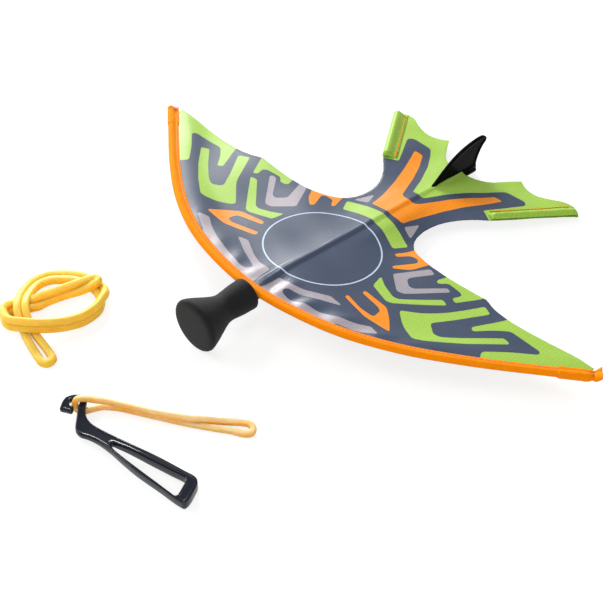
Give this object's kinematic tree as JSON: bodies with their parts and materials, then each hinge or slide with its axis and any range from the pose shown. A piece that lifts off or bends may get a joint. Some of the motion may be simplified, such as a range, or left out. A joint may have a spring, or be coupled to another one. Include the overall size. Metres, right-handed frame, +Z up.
{
  "type": "sling glider",
  "caption": "Bird-shaped cloth-winged toy glider with foam nose and tail fin, its rubber sling handle and a spare rubber band.",
  "frame": {"origin": "middle of the stiff pieces' footprint on the floor; x = 0 is the glider's plane of symmetry", "axes": "+X to the glider's own left wing seen from its nose, nose towards -Y, +Z up from the floor"},
  "size_m": [0.4662, 0.4336, 0.0418],
  "materials": {
    "cloth": "satin printed polyester cloth in slate, green, grey and orange",
    "binding": "folded orange edge tape",
    "hem_cloth": "green cloth hem",
    "channel_cloth": "dark cloth channel",
    "thread": "orange sewing thread",
    "fibre_rod": "satin glass-fibre rod",
    "black_plastic": "semi-gloss moulded plastic",
    "handle_plastic": "glossy moulded plastic",
    "foam": "matte foam rubber",
    "latex": "translucent amber latex"
  },
  "bodies": {
    "glider": {"wing_cloth": "cloth", "leading_edge_binding": "binding", "leading_edge_spar": "fibre_rod", "wing_tip_tab_left": "binding", "wing_tip_tab_right": "binding", "tail_hem_left": "hem_cloth", "tail_hem_right": "hem_cloth", "tail_batten_left": "fibre_rod", "tail_batten_right": "fibre_rod", "hem_thread_left": "thread", "hem_thread_right": "thread", "keel_rod": "fibre_rod", "keel_pocket": "channel_cloth", "nose_connector": "black_plastic", "nose_foam": "foam", "launch_hook": "black_plastic", "fin": "black_plastic"},
    "launcher": {"launcher_frame": "handle_plastic", "launcher_band": "latex"},
    "spare": {"spare_band": "latex"}
  },
  "joints": [
    {"name": "launcher_lift", "type": "slide", "parent": "glider", "child": "launcher", "axis": [0, 0, 1], "range_m": [0, 0.15]},
    {"name": "spare_band_lift", "type": "slide", "parent": "glider", "child": "spare", "axis": [0, 0, 1], "range_m": [0, 0.15]}
  ]
}
